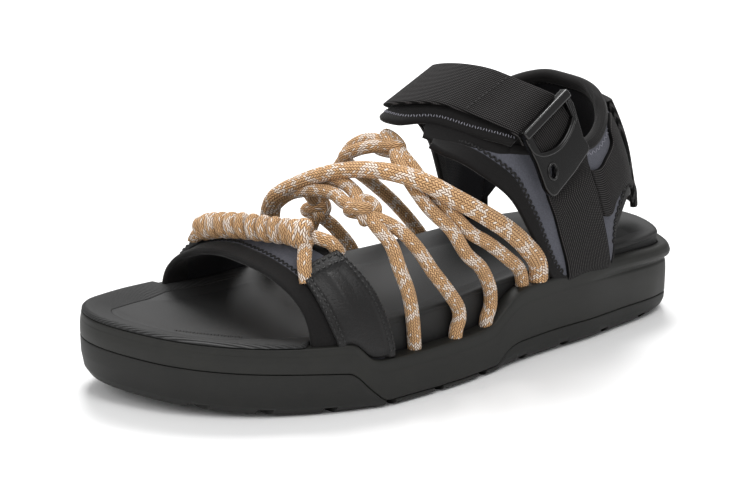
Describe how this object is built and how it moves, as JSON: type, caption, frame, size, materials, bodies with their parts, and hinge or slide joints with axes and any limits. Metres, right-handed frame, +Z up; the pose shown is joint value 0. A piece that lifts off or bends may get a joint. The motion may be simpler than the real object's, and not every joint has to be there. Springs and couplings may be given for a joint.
{
  "type": "sandal",
  "caption": "Open-toe sandal for a left foot: thick stepped sole, vamp strap with a barrel knot, knotted instep cords, padded heel quarter and a buckled instep strap.",
  "frame": {"origin": "centre of the footprint's box, on the floor", "axes": "+X from heel to toe, +Y to the outer side of the left foot, +Z up"},
  "size_m": [0.292, 0.1119, 0.1293],
  "materials": {
    "outsole_rubber": "satin warm black",
    "midsole_foam": "moulded foam, satin warm black",
    "footbed_foam": "moulded foam, matte black",
    "stretch_fabric": "blue-grey stretch fabric with black bindings",
    "patch_leather": "black grain leather, double stitched",
    "pad_fabric": "padded black knit",
    "webbing_fabric": "ribbed black nylon webbing",
    "buckle_plastic": "gloss black",
    "cord_fabric": "tan braid with pale flecks"
  },
  "bodies": {
    "root": {"outsole": "outsole_rubber", "midsole": "midsole_foam", "footbed": "footbed_foam", "vamp_strap": "stretch_fabric", "vamp_patch_outer": "patch_leather", "vamp_patch_inner": "patch_leather", "quarter": "stretch_fabric", "instep_pad": "pad_fabric", "instep_webbing": "webbing_fabric", "side_webbing_outer": "webbing_fabric", "heel_webbing_outer": "webbing_fabric", "heel_tab": "webbing_fabric", "buckle": "buckle_plastic", "cords": "cord_fabric", "barrel_knot": "cord_fabric"}
  },
  "joints": []
}
